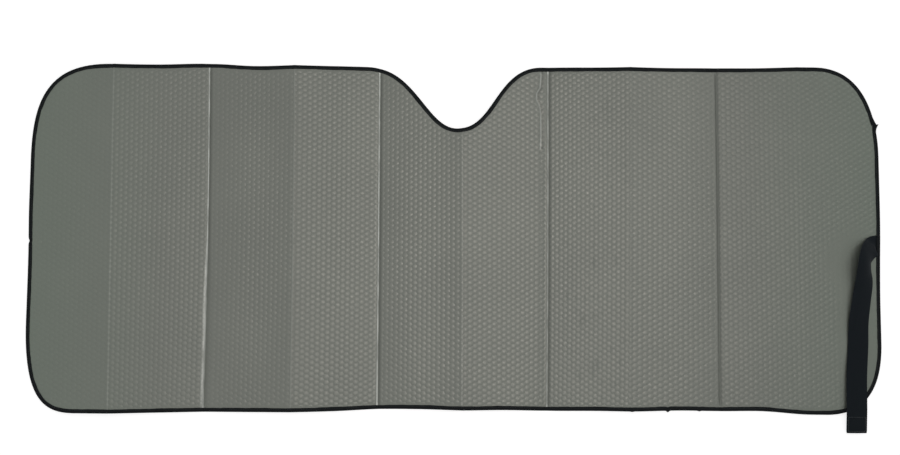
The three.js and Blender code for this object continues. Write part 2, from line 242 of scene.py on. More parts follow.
# The nick in the middle of the left edge, and the pucker of the foil beside it: the places
# across between which it rises, and the insets at which it comes out from under the tape.
NICK_Y = -5
NICK_DEPTH = 1.8
NICK_HALF = 3.2
NICK_REACH = 12
PUCKER_HEIGHT = 1.3
PUCKER_HALF = 3.5
PUCKER_RISE = (-708, -728)
PUCKER_OUT = (7.2, 9)

half_width = sum(PANEL_WIDTHS) / 2
top_y = SHADE_HEIGHT / 2
fold_places = np.cumsum([-half_width] + PANEL_WIDTHS)
fold_heights = np.zeros(len(fold_places))
fold_heights[1:-1:2] = RIDGE_HEIGHTS


def smooth_step(low, high, value):
    """0 below low, 1 above high, with an even passage between."""
    t = np.clip((value - low) / (high - low), 0, 1)
    return t * t * (3 - 2 * t)


def panel_at(x):
    """The number of the panel at a place across, from the left."""
    return np.clip(np.searchsorted(fold_places, x) - 1, 0, len(PANEL_WIDTHS) - 1)


def drift_of(x, y):
    """How far the pressed folds stray sideways, shared out over the panels between them."""
    top, middle, bottom = np.array([(0, 0, 0), *FOLD_DRIFT, (0, 0, 0)]).T
    level = y / top_y
    panel = panel_at(x)
    ends = [middle[k] + (top - bottom)[k] / 2 * level + ((top + bottom) / 2 - middle)[k] * level**2
            for k in (panel, panel + 1)]
    share = np.clip((x - fold_places[panel]) / np.array(PANEL_WIDTHS)[panel], 0, 1)
    return ends[0] * (1 - share) + ends[1] * share


def as_drawn(points):
    """Places across as they were before the folds strayed."""
    x = points[:, 0].copy()
    for _ in range(4):
        x = points[:, 0] - drift_of(x, points[:, 1])
    return x


def lie(points):
    """Height of the sheet's underside over the floor: the folds, and a slight wave in the film
    where a panel hangs free."""
    x, y = as_drawn(points), points[:, 1]
    panel = panel_at(x)
    left, right = fold_heights[panel], fold_heights[panel + 1]
    valley = np.where(left < right, fold_places[panel], fold_places[panel + 1])
    ridge = np.maximum(left, right)
    reach = np.array(PANEL_WIDTHS)[panel] - CREASE_FLAT
    t = np.clip((np.abs(x - valley) - CREASE_FLAT) / reach, 0, 1)
    bent = 0.5 + 0.5 * np.sign(2 * t - 1) * (2 * t - 1) ** 2
    height = ridge * ((1 - PANEL_CURL) * t + PANEL_CURL * bent)
    wave = np.sin(x / 31 + y / 97) + np.sin(y / 71 - x / 53 + 1) + np.sin(y / 43 + x / 127 + 2)
    return height + FILM_WAVE / 3 * wave * np.minimum(height / 6, 1)


def groove(points, above, half_width_of_it, depth):
    """Depth of the fold grooves, on the hollow side of each fold: above at a valley, below at
    a ridge."""
    x = as_drawn(points)
    nearest = np.abs(x[:, None] - fold_places[None, 1:-1]).argmin(1) + 1
    away = np.abs(x - fold_places[nearest])
    hollow = (fold_heights[nearest] == 0) == above
    return np.where(hollow, depth * np.clip(1 - away / half_width_of_it, 0, 1), 0)


def bezier(start, first, second, end, steps):
    """Points along a cubic curve, without its last one."""
    t = np.linspace(0, 1, steps, endpoint=False)[:, None]
    a, b, c, d = (np.array(p, float) for p in (start, first, second, end))
    return (1 - t) ** 3 * a + 3 * (1 - t) ** 2 * t * b + 3 * (1 - t) * t**2 * c + t**3 * d


def corner(shape, steps):
    """A rounded corner, from the top or bottom edge round to the side."""
    right, up, across, down, edge_full, side_full, out, aside = shape
    tip = np.array([right * (half_width + aside), up * (top_y + out)], float)
    on_edge, on_side = tip - (right * across, 0), tip - (0, up * down)
    line = bezier(on_edge, on_edge + (tip - on_edge) * edge_full,
                  on_side + (tip - on_side) * side_full, on_side, steps)
    return np.vstack([line, on_side])


def smooth_line(knots, steps, placing=2):
    """A smooth line through knots, whose first columns are their place."""
    knots = np.array(knots, float)
    gaps = np.sqrt(np.linalg.norm(np.diff(knots[:, :placing], axis=0), axis=1))
    slopes = np.gradient(knots, np.concatenate([[0], np.cumsum(gaps)]), axis=0)
    t = np.linspace(0, 1, steps, endpoint=False)[:, None]
    spans = [
        (2 * t**3 - 3 * t**2 + 1) * knots[k] + (t**3 - 2 * t**2 + t) * gap * slopes[k]
        + (3 * t**2 - 2 * t**3) * knots[k + 1] + (t**3 - t**2) * gap * slopes[k + 1]
        for k, gap in enumerate(gaps)
    ]
    return np.vstack([*spans, knots[-1:]])


def cut_edge(steps):
    """The cut outline, counter-clockwise from the left end of the bottom edge."""
    middles = (fold_places[1:-2] + fold_places[2:-1]) / 2
    stations = np.sort(np.concatenate([fold_places[1:-1], middles]))
    notch_left, notch_right = NOTCH_OFFSET - NOTCH_REACH[0], NOTCH_OFFSET + NOTCH_REACH[1]
    left_y, right_y, low = top_y + NOTCH_EDGE[0], top_y + NOTCH_EDGE[1], top_y - NOTCH_DEPTH
    bottom_left, bottom_right = corner(BOTTOM_LEFT, steps), corner(BOTTOM_RIGHT, steps)
    top_left, top_right = corner(TOP_LEFT, steps), corner(TOP_RIGHT, steps)
    top = list(zip(stations, [top_y + out for out in TOP_EDGE_LEFT]))
    top_beyond = list(zip(stations[-len(TOP_EDGE_RIGHT):], [top_y + out for out in TOP_EDGE_RIGHT]))
    bottom = list(zip(stations, [-top_y - out for out in BOTTOM_EDGE]))
    right_side = [(half_width + out, share * top_y) for share, out in RIGHT_SIDE]
    left_side = [(-half_width - out, share * top_y) for share, out in LEFT_SIDE]
    runs = [
        smooth_line([bottom_left[0], *bottom, bottom_right[0]], 6),
        bottom_right,
        smooth_line([bottom_right[-1], *right_side, top_right[-1]], 8),
        top_right[::-1],
        smooth_line([top_right[0], *top_beyond[::-1], (notch_right, right_y)], 6),
        bezier((notch_right, right_y), (notch_right - NOTCH_SHOULDER, right_y),
               (NOTCH_OFFSET + NOTCH_FLOOR[1], low), (NOTCH_OFFSET, low), steps),
        bezier((NOTCH_OFFSET, low), (NOTCH_OFFSET - NOTCH_FLOOR[0], low),
               (notch_left + NOTCH_SHOULDER, left_y), (notch_left, left_y), steps),
        smooth_line([(notch_left, left_y), *top[::-1], top_left[0]], 6),
        top_left,
        smooth_line([top_left[-1], *left_side, bottom_left[-1]], 8),
        bottom_left[::-1],
    ]
    line = np.vstack(runs)
    return line[np.linalg.norm(line - np.roll(line, -1, axis=0), axis=1) > 0.01]


edge = cut_edge(36)
edge_run = np.roll(edge, -1, axis=0) - edge
edge_length = np.linalg.norm(edge_run, axis=1)
edge_inward = np.column_stack([-edge_run[:, 1], edge_run[:, 0]]) / edge_length[:, None]


def inset_of(points):
    """How far each point lies inside the cut edge, and the way inwards there."""
    depth, inward = np.empty(len(points)), np.empty((len(points), 2))
    for start in range(0, len(points), 4000):
        some = points[start : start + 4000, None, :2] - edge[None]
        t = np.clip((some * edge_run).sum(2) / edge_length**2, 0, 1)
        away = some - t[:, :, None] * edge_run
        nearest = (away**2).sum(2).argmin(1)
        rows = np.arange(len(some))
        inward[start : start + 4000] = edge_inward[nearest]
        depth[start : start + 4000] = (away[rows, nearest] * edge_inward[nearest]).sum(1)
    return depth, inward


def points_of(piece):
    """A piece's vertices, in millimetres."""
    points = np.empty(len(piece.data.vertices) * 3)
    piece.data.vertices.foreach_get("co", points)
    return points.reshape(-1, 3) / MM


def move_points(piece, points, to_frame=False):
    """Puts a piece's vertices at places in millimetres, from the shade's middle or its frame."""
    places = points * MM + (np.array(SHADE_CENTRE) if to_frame else 0)
    piece.data.vertices.foreach_set("co", places.ravel())
    piece.data.update()


def apply_modifier(piece, name, kind, **settings):
    """Adds a modifier with its settings and applies it."""
    modifier = piece.modifiers.new(name, kind)
    for key, value in settings.items():
        setattr(modifier, key, value)
    bpy.context.view_layer.objects.active = piece
    bpy.ops.object.modifier_apply(modifier=name)


def repeat(piece, name, count, step):
    """Repeats a piece in a row, each copy a step in metres from the last."""
    apply_modifier(piece, name, "ARRAY", count=count, use_relative_offset=False,
                   use_constant_offset=True, constant_offset_displace=step)


def edit_all():
    """Opens the active piece for editing, all of it selected."""
    bpy.ops.object.mode_set(mode="EDIT")
    bpy.ops.mesh.select_all(action="SELECT")


def merge_and_face_outwards(piece, threshold):
    """Joins vertices that meet and turns all faces outwards."""
    bpy.context.view_layer.objects.active = piece
    edit_all()
    bpy.ops.mesh.remove_doubles(threshold=threshold)
    bpy.ops.mesh.normals_make_consistent(inside=False)
    bpy.ops.object.mode_set(mode="OBJECT")


def nick_at(points, inset):
    """How far the nick in the middle of the left edge draws foil and tape inwards."""
    near = np.exp(-((points[:, 1] - NICK_Y) / NICK_HALF) ** 2) * (points[:, 0] < 0)
    return NICK_DEPTH * near * np.clip(1 - inset / NICK_REACH, 0, 1)


def corners_of(piece):
    """The vertex at each corner of a piece's faces, and where each face's corners begin."""
    corners = np.empty(len(piece.data.loops), int)
    piece.data.loops.foreach_get("vertex_index", corners)
    starts = np.empty(len(piece.data.polygons), int)
    piece.data.polygons.foreach_get("loop_start", starts)
    return corners, starts


def select_only(*pieces):
    """Selects these pieces alone for the next operator, the first of them active."""
    deselect()
    for piece in pieces:
        piece.select_set(True)
    bpy.context.view_layer.objects.active = pieces[0]


# One bubble is a hexagon of six triangles. Two of them, half a pitch apart, are repeated down
# the columns and along the width.
column_step = BUBBLE_PITCH * math.sqrt(3) / 2
column_pairs = math.ceil(half_width / column_step) + 1
rows = math.ceil(SHADE_HEIGHT / BUBBLE_PITCH) + 2
first_bubble = (-(column_pairs - 0.5) * column_step, -(rows - 0.5) / 2 * BUBBLE_PITCH)
deselect()
bpy.ops.mesh.primitive_circle_add(
    vertices=6, radius=BUBBLE_PITCH / math.sqrt(3) * MM, fill_type="TRIFAN",
    location=(first_bubble[0] * MM, first_bubble[1] * MM, 0), rotation=(0, 0, math.radians(30)),
)
foil = bpy.context.object
foil.name = "bubble_foil"
bpy.ops.object.transform_apply(location=True, rotation=True, scale=True)
edit_all()
bpy.ops.mesh.duplicate()
bpy.ops.transform.translate(value=(column_step * MM, BUBBLE_PITCH / 2 * MM, 0))
bpy.ops.object.mode_set(mode="OBJECT")
repeat(foil, "down the columns", rows, (0, BUBBLE_PITCH * MM, 0))
repeat(foil, "along the width", column_pairs, (2 * column_step * MM, 0, 0))
merge_and_face_outwards(foil, 0.05 * MM)

# Each fold gets a line of its own and one at either side of its groove.
bpy.ops.object.mode_set(mode="EDIT")
for place in [*fold_places[1:-1], WRINKLE_X]:
    for side in (-CREASE_HALF_WIDTH, 0, CREASE_HALF_WIDTH):
        bpy.ops.mesh.select_all(action="SELECT")
        bpy.ops.mesh.bisect(plane_co=((place + side) * MM, 0, 0), plane_no=(1, 0, 0))
bpy.context.tool_settings.mesh_select_mode = (False, False, True)
bpy.ops.object.mode_set(mode="OBJECT")

# The lattice is cut to the outline: what lies outside goes, and the last row is drawn in to
# the edge, which the tape covers.
flat = points_of(foil)
wrinkle_y, wrinkle_x = np.array(WRINKLE).T
pull = np.where(flat[:, 0] < WRINKLE_X, *WRINKLE_PULL)
beside = np.clip(1 - np.abs(flat[:, 0] - WRINKLE_X) / pull, 0, 1)
beside *= flat[:, 1] > wrinkle_y[0] - WRINKLE_LEAD
stray = drift_of(flat[:, 0], flat[:, 1])
flat[:, 0] += stray + beside * (np.interp(flat[:, 1], wrinkle_y, wrinkle_x) - WRINKLE_X - stray)
depth, inward = inset_of(flat)
face_corners, face_starts = corners_of(foil)
outside = np.maximum.reduceat(depth[face_corners], face_starts) < FOIL_EDGE + 0.3
foil.data.vertices.foreach_set("select", np.zeros(len(flat), bool))
foil.data.edges.foreach_set("select", np.zeros(len(foil.data.edges), bool))
foil.data.polygons.foreach_set("select", outside)
flat[:, :2] += np.maximum(FOIL_EDGE - depth, 0)[:, None] * inward
move_points(foil, flat)
bpy.ops.object.mode_set(mode="EDIT")
bpy.ops.mesh.delete(type="FACE")
bpy.ops.object.mode_set(mode="OBJECT")
apply_modifier(foil, "two films", "SOLIDIFY", thickness=SHEET_THICKNESS * MM, offset=-1)

# Both films take the folds, the crushed rim and the domes.
flat = points_of(foil)
is_top = flat[:, 2] > -SHEET_THICKNESS / 2
depth, inward = inset_of(flat)
rim = 1 - smooth_step(*RIM_SLOPE, depth)
on_wrinkle = smooth_step(wrinkle_y[0], wrinkle_y[0] + WRINKLE_FADE, flat[:, 1])
from_wrinkle = flat[:, 0] - np.interp(flat[:, 1], wrinkle_y, wrinkle_x)
wrinkle = on_wrinkle * np.clip(1 - np.abs(from_wrinkle) / CREASE_HALF_WIDTH, 0, 1)
from_folds = as_drawn(flat)[:, None] - fold_places[None, 1:-1]
beside_fold, beside_wrinkle = (
    1 - smooth_step(CREASE_HALF_WIDTH - 1, CREASE_HALF_WIDTH + 4, away)
    for away in (np.abs(from_folds).min(1), np.abs(from_wrinkle))
)
# The hollow side of a fold is crushed, and the bubbles on its outer side mostly last.
at_valley = fold_heights[1:-1][np.abs(from_folds).argmin(1)] == 0
beside_fold *= np.where(at_valley == is_top, 1, RIDGE_CRUSH)
up_from_root = flat[:, 1] - STRAP_PRESS_TOP
from_run = np.hypot(flat[:, 0] - STRAP_PRESS_X, np.maximum(up_from_root, 0))
from_root = np.hypot(flat[:, 0] - STRAP_PRESS_X, up_from_root)
under_strap = STRAP_PRESS * np.maximum(
    smooth_step(*STRAP_PRESS_AT_ROOT, from_root), smooth_step(*STRAP_PRESS_ALONG, from_run))
press = np.maximum.reduce([rim, beside_fold, on_wrinkle * beside_wrinkle, under_strap])
# The rows of bubbles strayed with the folds.
lattice = np.column_stack([as_drawn(flat), flat[:, 1]])
spacing = np.array((2 * column_step, BUBBLE_PITCH))
from_first = (lattice - first_bubble) / spacing
even = ((from_first + 0.5) % 1 - 0.5) * spacing
odd = (from_first % 1 - 0.5) * spacing
to_centre = np.minimum(np.linalg.norm(even, axis=1), np.linalg.norm(odd, axis=1))
dome = 1 - smooth_step(0, BUBBLE_PITCH / math.sqrt(3), to_centre)
relief = (DOME_UP + DOME_DOWN) * dome - DOME_DOWN
relief += DOME_UNEVEN * np.random.default_rng(5).standard_normal(len(flat)) * dome
half = SHEET_THICKNESS / 2 + relief * (1 - press)
half += (RIM_THICKNESS / 2 - half) * rim
crease_share = 1 - RIM_EVENS_CREASE * rim
half -= groove(flat, True, CREASE_HALF_WIDTH, CREASE_DEPTH) * is_top * crease_share
half -= groove(flat, False, CREASE_HALF_WIDTH, CREASE_DEPTH) * ~is_top * crease_share
half -= WRINKLE_DEPTH * wrinkle * is_top
# The foil puckers inwards from the nick in the middle of its left edge.
flat[:, :2] += nick_at(flat, depth)[:, None] * inward
pucker = np.exp(-((flat[:, 1] - NICK_Y) / PUCKER_HALF) ** 2) * smooth_step(*PUCKER_RISE, flat[:, 0])
half += PUCKER_HEIGHT * pucker * is_top * smooth_step(*PUCKER_OUT, depth)
flat[:, 2] = np.maximum(lie(flat) + SHEET_THICKNESS / 2 + np.where(is_top, half, -half), 0)
move_points(foil, flat, to_frame=True)

# For the material, each corner of a face keeps how far it is from the crease nearest to the
# face, and how strongly that crease is painted paler, wear and painted highlight, and darker,
# painted shade. On the back it is the ridges that show.
FAR_AWAY = 99
from_creases = np.column_stack([from_folds, np.where(on_wrinkle > 0.02, from_wrinkle, FAR_AWAY)])
face_corners, face_starts = corners_of(foil)
corners_each = np.diff([*face_starts, len(face_corners)])
total_away = np.add.reduceat(np.abs(from_creases[face_corners]), face_starts, axis=0)
nearest = np.repeat(total_away.argmin(1), corners_each)
marks_above = np.column_stack([[FOLD_WEAR_AND_HIGHLIGHT, FOLD_PAINTED_SHADE], WRINKLE_MARKS])
marks_below = np.append(BACK_MARKS * (fold_heights[1:-1] > 0), 0)
crushed = (nearest == CRUSHED_FOLD) * smooth_step(*CRUSHED_BAND, flat[face_corners, 1])
from_fold = from_creases[face_corners, nearest]
from_fold /= 1 + np.where(from_fold < 0, *CRUSHED_WIDER) * crushed
fold_wear_and_highlight, fold_painted_shade = (
    np.where(is_top[face_corners], marks[nearest], marks_below[nearest]) * (1 - CRUSHED_FAINTER * crushed)
    for marks in marks_above
)
for name, domain, values in (
    ("fold_wear_and_highlight", "CORNER", fold_wear_and_highlight), ("fold_painted_shade", "CORNER", fold_painted_shade),
    ("from_fold", "CORNER", from_fold), ("press", "POINT", press),
):
    foil.data.attributes.new(name, "FLOAT", domain)
    foil.data.attributes[name].data.foreach_set("value", values.astype(np.float32))
lattice_map = foil.data.uv_layers.active or foil.data.uv_layers.new(name="lattice")
lattice_map.name = "lattice"
lattice_map.data.foreach_set("uv", (lattice - first_bubble)[face_corners].ravel() * MM)
select_only(foil)
bpy.ops.object.shade_smooth_by_angle(angle=math.radians(26))

# Metallised polyethylene film: a vapour coat of aluminium under matt film, pearl grey with a
# green cast. It gives a broad soft sheen. Beside the folds it is painted paler, partly wear and
# partly a painted highlight, and darker, a painted shade in the groove.
metallised_film, tree = new_material("metallised polyethylene film")
place = add_node(tree, "ShaderNodeTexCoord").node.outputs["Object"]
on_lattice = add_node(tree, "ShaderNodeUVMap", uv_map="lattice")
# The distance from the middle of the nearest bubble, in either half of the lattice.
half_step = (column_step * MM, BUBBLE_PITCH / 2 * MM, 1)
spans = []
for start in ((0, 0, 0), (*half_step[:2], 0)):
    moved = add_node(tree, "ShaderNodeVectorMath", {0: on_lattice, 1: start}, operation="SUBTRACT")
    wrapped = add_node(tree, "ShaderNodeVectorMath",
                       {0: moved, 1: half_step, 2: [-step for step in half_step]}, operation="WRAP")
    span = add_node(tree, "ShaderNodeVectorMath", {0: wrapped}, operation="LENGTH").node
    spans.append(span.outputs["Value"])
bubble = add_node(tree, "ShaderNodeMath", {0: spans[0], 1: spans[1]}, operation="MINIMUM")
square = add_node(tree, "ShaderNodeMath", {0: bubble, 1: bubble}, operation="MULTIPLY")
dome = add_node(tree, "ShaderNodeMapRange",
                {"Value": square, "From Max": (BUBBLE_RADIUS * MM) ** 2, "To Min": 1.0, "To Max": 0.0})
pressed, from_fold, fold_wear_and_highlight, fold_painted_shade = (
    add_node(tree, "ShaderNodeAttribute", attribute_name=name).node.outputs["Fac"]
    for name in ("press", "from_fold", "fold_wear_and_highlight", "fold_painted_shade")
)
free = add_node(tree, "ShaderNodeMath", {0: 1.0, 1: pressed}, operation="SUBTRACT")
dome = add_node(tree, "ShaderNodeMath", {0: dome, 1: free}, operation="MULTIPLY")
clouds = add_node(tree, "ShaderNodeTexNoise", {"Vector": place, "Scale": 7.0, "Detail": 3.0}).node
grain = add_node(tree, "ShaderNodeTexNoise", {"Vector": place, "Scale": 420.0, "Detail": 4.0}).node
scratch_space = add_node(tree, "ShaderNodeVectorMath", {0: place, 1: (260, 34, 60)},
                         operation="MULTIPLY")
scratches = add_node(tree, "ShaderNodeTexNoise", {"Vector": scratch_space, "Scale": 1.0,
                                                  "Detail": 3.0})
film = add_node(tree, "ShaderNodeMixRGB", {"Fac": clouds.outputs["Fac"], "Color1": colour("#747770"),
                                           "Color2": colour("#6b6e68")})
# Towards both ends the film is painted greener and darker, and towards the right end darker
# still: painted shade where the light falls off towards the ends.
across = add_node(tree, "ShaderNodeSeparateXYZ", {"Vector": place}).node
aside = add_node(tree, "ShaderNodeMath", {0: across.outputs["X"]}, operation="ABSOLUTE")
for where, start, full, tint, most in (
    (aside, 0.50, 0.72, "#687468", 0.5), (across.outputs["X"], 0.40, 0.52, "#5d605b", 0.2),
):
    amount = add_node(tree, "ShaderNodeMapRange", {"Value": where, "From Min": start, "From Max": full,
                                                   "To Max": most})
    film = add_node(tree, "ShaderNodeMixRGB", {"Fac": amount, "Color1": film, "Color2": colour(tint)})
# Beside a fold, in millimetres from its line: where the film is painted paler, partly wear and
# partly a painted highlight, and where it is painted darker into the fold, a painted shade.
lines = {}
for name, start, full, end in (("wear_and_highlight", -2.4, -0.8, 1.0), ("painted_groove_shade", 0.6, 2.0, 7.0)):
    rising, falling = (
        add_node(tree, "ShaderNodeMapRange", {"Value": from_fold, "From Min": low, "From Max": full})
        for low in (start, end)
    )
    lines[name] = add_node(tree, "ShaderNodeMath", {0: rising, 1: falling}, operation="MINIMUM")
wear_and_highlight = add_node(tree, "ShaderNodeMapRange", {"Value": scratches, "From Min": 0.3, "From Max": 0.6,
                                             "To Min": 0.35})
wear_and_highlight = add_node(tree, "ShaderNodeMath", {0: wear_and_highlight, 1: lines["wear_and_highlight"]}, operation="MULTIPLY")
wear_and_highlight = add_node(tree, "ShaderNodeMath", {0: wear_and_highlight, 1: fold_wear_and_highlight}, operation="MULTIPLY", use_clamp=True)
# The pale line is partly wear and partly a painted highlight.
film = add_node(tree, "ShaderNodeMixRGB", {"Fac": wear_and_highlight, "Color1": film, "Color2": colour("#d2d5cf")})
# The dark line is painted shade in the fold.
painted_groove_shade = add_node(tree, "ShaderNodeMath", {0: lines["painted_groove_shade"], 1: fold_painted_shade}, operation="MULTIPLY")
film = add_node(tree, "ShaderNodeMixRGB", {"Fac": painted_groove_shade, "Color1": film, "Color2": colour("#2c2f2c")})
rough = add_node(tree, "ShaderNodeMapRange", {"Value": grain.outputs["Fac"], "From Min": 0.3,
                                              "From Max": 0.7, "To Min": 0.34, "To Max": 0.46})
height = add_node(tree, "ShaderNodeMath", {0: grain.outputs["Fac"], 1: 0.04, 2: dome},
                  operation="MULTIPLY_ADD")
bump = add_node(tree, "ShaderNodeBump", {"Strength": 1.0, "Distance": 0.8 * MM, "Height": height})
shader = add_node(tree, "ShaderNodeBsdfPrincipled", {
    "Base Color": film, "Metallic": 0.6, "Roughness": rough, "Normal": bump})
coat(foil, metallised_film, shader)
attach(foil, "root")
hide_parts("shade_sheet")

# The edge tape: black non-woven strip folded over the rim and sewn through with a lockstitch.
# It goes once round the shade, and its two ends meet at the upper right, where they stand open.
TAPE_COVER = 7
TAPE_START = (734, 199)
STITCH_INSET = 5
STITCH_PITCH = 4
TAPE_CREASE = 0.8
# Over the strap the tape is lifted, fully within the first of these distances from the strap's
# middle line and not at all beyond the second.
POCKET_LIFT = 2.6
POCKET_AT = -14
POCKET_SLOPE = (17, 20.4)
# The two ends: the length over which each comes loose, its power, and how far its tip sticks out.
LOWER_END = (14, 2, 7)
UPPER_END = (15, 1.5, 3)
END_FADE = 11
END_LIFT = 0.9
# How the hand that guides the strip wanders: by how much, over which length, and where it begins.
WANDER = [(0.18, 23, 0), (0.14, 9.1, 2), (0.1, 3.7, 0)]
# Tufts of thread under the tape at the bottom edge push it out: place across, and how far.
TUFTS = [(364.5, 2.8), (303, 0.9), (419, 1.2)]
TUFT_HALF = 2.4
TUFT_FADE = 12

# The seam's line, at even steps from where the tape's ends meet.
seam = edge + STITCH_INSET * 0.5 * (edge_inward + np.roll(edge_inward, 1, axis=0))
start = np.linalg.norm(seam - TAPE_START, axis=1).argmin()
seam = np.roll(seam, -start, axis=0)
seam = np.vstack([seam, seam[:1]])
seam_at = np.concatenate([[0], np.cumsum(np.linalg.norm(np.diff(seam, axis=0), axis=1))])
seam_total = seam_at[-1]
stitches = round(seam_total / STITCH_PITCH)
stitch_step = seam_total / stitches
steps_along = np.linspace(0, seam_total, 2 * stitches + 1)
seam = np.column_stack([np.interp(steps_along, seam_at, seam[:, axis]) for axis in (0, 1)])
seam_curve = bpy.data.curves.new("seam_line", "CURVE")
spline = seam_curve.splines.new("POLY")
spline.points.add(len(seam) - 1)
for point, (x, y) in zip(spline.points, seam):
    point.co = (x * MM, y * MM, 0, 1)
seam_line = bpy.data.objects.new("seam_line", seam_curve)
bpy.context.collection.objects.link(seam_line)

# The folded strip in section: inset from the cut edge, and height from the middle of the rim.
SEAM_HOLLOW = 1.72
OUTER_HALF = [(7.0, 1.7), (6.6, 1.97), (5.7, 2.0), (STITCH_INSET, SEAM_HOLLOW), (4.3, 2.0),
              (3.0, 2.0), (1.7, 1.93), (0.75, 1.6), (0.18, 0.9)]
INNER_HALF = [(6.9, 1.22), (2.2, 1.3), (0.7, 0.7)]
section = (OUTER_HALF + [(0, 0)] + [(i, -z) for i, z in OUTER_HALF[::-1]]
           + [(i, -z) for i, z in INNER_HALF] + [(i, z) for i, z in INNER_HALF[::-1]])
deselect()
bpy.ops.mesh.primitive_circle_add(vertices=len(section), radius=TAPE_COVER * MM)
tape = bpy.context.object
tape.name = "edge_tape"
move_points(tape, np.array([(0, inset - STITCH_INSET, z) for inset, z in section]))
edit_all()
for _ in range(2):
    bpy.ops.mesh.extrude_edges_move(TRANSFORM_OT_translate={"value": (stitch_step / 2 * MM, 0, 0)})
bpy.ops.object.mode_set(mode="OBJECT")

# The needle draws the strip in at both ends of a stitch, and the strip swells between.
unit = points_of(tape)
SWELL, DRAW = 0.14, -0.1
on_seam = np.abs(np.abs(unit[:, 2]) - SEAM_HOLLOW) < 0.01
between = np.abs(unit[:, 0] - stitch_step / 2) < 0.1
unit[:, 2] += np.where(on_seam, np.where(between, SWELL, DRAW), 0) * np.sign(unit[:, 2])
move_points(tape, unit)
repeat(tape, "round the edge", stitches, (stitch_step * MM, 0, 0))
merge_and_face_outwards(tape, 0.02 * MM)
edit_all()
bpy.ops.mesh.fill_holes(sides=0)
bpy.ops.mesh.normals_make_consistent(inside=False)
bpy.ops.object.mode_set(mode="OBJECT")


def follow_seam(piece):
    """Lays a straight run along the seam and over the folds, and returns where on it each
    vertex is."""
    straight = points_of(piece)
    along, inset = straight[:, 0], straight[:, 1] + STITCH_INSET
    apply_modifier(piece, "seam", "CURVE", object=seam_line, deform_axis="POS_X")
    laid = points_of(piece)
    above = straight[:, 2] > 0
    laid[:, 2] += lie(laid) + SHEET_THICKNESS / 2
    laid[:, 2] -= groove(laid, True, CREASE_HALF_WIDTH, TAPE_CREASE) * above
    laid[:, 2] += groove(laid, False, CREASE_HALF_WIDTH, TAPE_CREASE) * ~above
    over_strap = 1 - smooth_step(*POCKET_SLOPE, np.abs(laid[:, 1] - POCKET_AT))
    over_strap *= (laid[:, 0] > 0) * smooth_step(0.2, 1.6, straight[:, 2])
    laid[:, 2] += POCKET_LIFT * over_strap * smooth_step(0, 1.4, inset)
    return laid, along, inset, above


laid, along, inset, above = follow_seam(tape)
_, inward = inset_of(laid)
wander = sum(size * np.sin(along / length + begin) for size, length, begin in WANDER)
wander *= smooth_step(0, TAPE_COVER, inset)
# The loose corners at the two ends curl away from the foil.
lower_end, upper_end = (
    np.clip(1 - to_end / length, 0, 1) ** power
    for to_end, (length, power, _) in ((seam_total - along, LOWER_END), (along, UPPER_END))
)
flare = (LOWER_END[2] * lower_end + UPPER_END[2] * upper_end) * (1 - inset / END_FADE)
tufts = sum(size * np.exp(-((laid[:, 0] - x) / TUFT_HALF) ** 2) for x, size in TUFTS)
tufts *= (laid[:, 1] < 0) * (1 - inset / TUFT_FADE)
laid[:, :2] += (wander - flare + nick_at(laid, inset) - tufts)[:, None] * inward
laid[:, 2] += END_LIFT * (lower_end + upper_end) * above * smooth_step(TAPE_COVER, 2, inset)
move_points(tape, laid, to_frame=True)
select_only(tape)
bpy.ops.object.shade_smooth_by_angle(angle=math.radians(50))

# Spunbonded polypropylene: matt black, fibrous, with the fine grid of weld points that the hot
# roller leaves, and no gloss but a slight fuzz at a low angle.
spunbond, tree = new_material("black spunbonded polypropylene")
place = add_node(tree, "ShaderNodeTexCoord").node.outputs["Object"]
fibres = add_node(tree, "ShaderNodeTexNoise", {"Vector": place, "Scale": 900.0, "Detail": 5.0,
                                               "Distortion": 1.5})
welds = add_node(tree, "ShaderNodeTexVoronoi", {"Vector": place, "Scale": 800.0, "Randomness": 0.15})
patches = add_node(tree, "ShaderNodeTexNoise", {"Vector": place, "Scale": 60.0, "Detail": 2.0})
cloth = add_node(tree, "ShaderNodeMixRGB", {"Fac": patches, "Color1": colour("#0b0e0f"),
                                            "Color2": colour("#171b1d")})
lint = add_node(tree, "ShaderNodeMapRange", {"Value": fibres, "From Min": 0.5, "From Max": 0.8,
                                             "To Max": 0.35})
cloth = add_node(tree, "ShaderNodeMixRGB", {"Fac": lint, "Color1": cloth, "Color2": colour("#262b2d")})
height = add_node(tree, "ShaderNodeMath", {0: fibres, 1: 0.6, 2: welds}, operation="MULTIPLY_ADD")
bump = add_node(tree, "ShaderNodeBump", {"Strength": 0.7, "Distance": 0.12 * MM, "Height": height})
shader = add_node(tree, "ShaderNodeBsdfPrincipled", {
    "Base Color": cloth, "Roughness": 0.85, "Specular IOR Level": 0.12, "Sheen Weight": 0.05,
    "Normal": bump})
coat(tape, spunbond, shader)
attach(tape, "root")
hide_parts("edge_binding")

# The sewing thread: black polyester lockstitch through tape and rim, seen on both faces. Each
# stitch lies on the tape and dives into a needle hole at its ends.
THREAD_RADIUS = 0.22
STITCH_LINE = [(-1.7, 1.4), (-1.25, 1.68), (0, 1.78), (1.25, 1.68), (1.7, 1.4)]
THREAD_SIDES = 4


